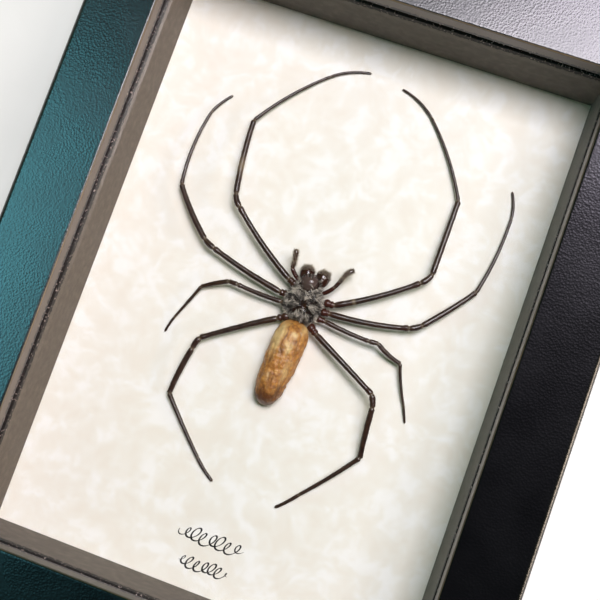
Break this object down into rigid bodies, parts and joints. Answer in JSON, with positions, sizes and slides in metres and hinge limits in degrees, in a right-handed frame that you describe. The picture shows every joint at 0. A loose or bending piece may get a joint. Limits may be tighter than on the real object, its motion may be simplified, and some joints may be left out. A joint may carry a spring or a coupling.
{
  "type": "framed orb weaver spider",
  "caption": "Dried long-legged orb weaver spider spread on a marbled card in a deep black shadow box frame behind glass.",
  "frame": {"origin": "middle of the frame's back, where it lies on a table", "axes": "+X to the right and +Y to the top of the frame, where the spider's head points, +Z out of the glass"},
  "size_m": [0.172, 0.223, 0.042],
  "materials": {
    "black_paint": "satin black paint on wood",
    "clear_glass": "clear polished sheet",
    "parchment_paper": "marbled parchment paper on board",
    "hardboard": "pressed brown fibre",
    "zinc_steel": "zinc plated",
    "grey_hair": "dark shell under silvery hair",
    "tan_skin": "dry wrinkled skin",
    "dark_shell": "glossy dark brown shell",
    "red_shell": "glossy reddish brown shell"
  },
  "bodies": {
    "root": {"rail_top": "black_paint", "rail_bottom": "black_paint", "rail_left": "black_paint", "rail_right": "black_paint", "spacer_top": "black_paint", "spacer_bottom": "black_paint", "spacer_left": "black_paint", "spacer_right": "black_paint", "glass_pane": "clear_glass", "mount_card": "parchment_paper", "back_board": "hardboard", "hanger": "zinc_steel", "tab_left_upper": "zinc_steel", "tab_left_lower": "zinc_steel", "tab_right_upper": "zinc_steel", "tab_right_lower": "zinc_steel", "tab_bottom": "zinc_steel", "tab_top": "zinc_steel", "carapace": "grey_hair", "abdomen": "tan_skin", "leg_left_1": "dark_shell", "leg_left_2": "dark_shell", "leg_left_3": "dark_shell", "leg_left_4": "dark_shell", "leg_right_1": "dark_shell", "leg_right_2": "dark_shell", "leg_right_3": "dark_shell", "leg_right_4": "dark_shell", "chelicera_left": "red_shell", "chelicera_right": "red_shell", "palp_left": "red_shell", "palp_right": "red_shell"}
  },
  "joints": []
}
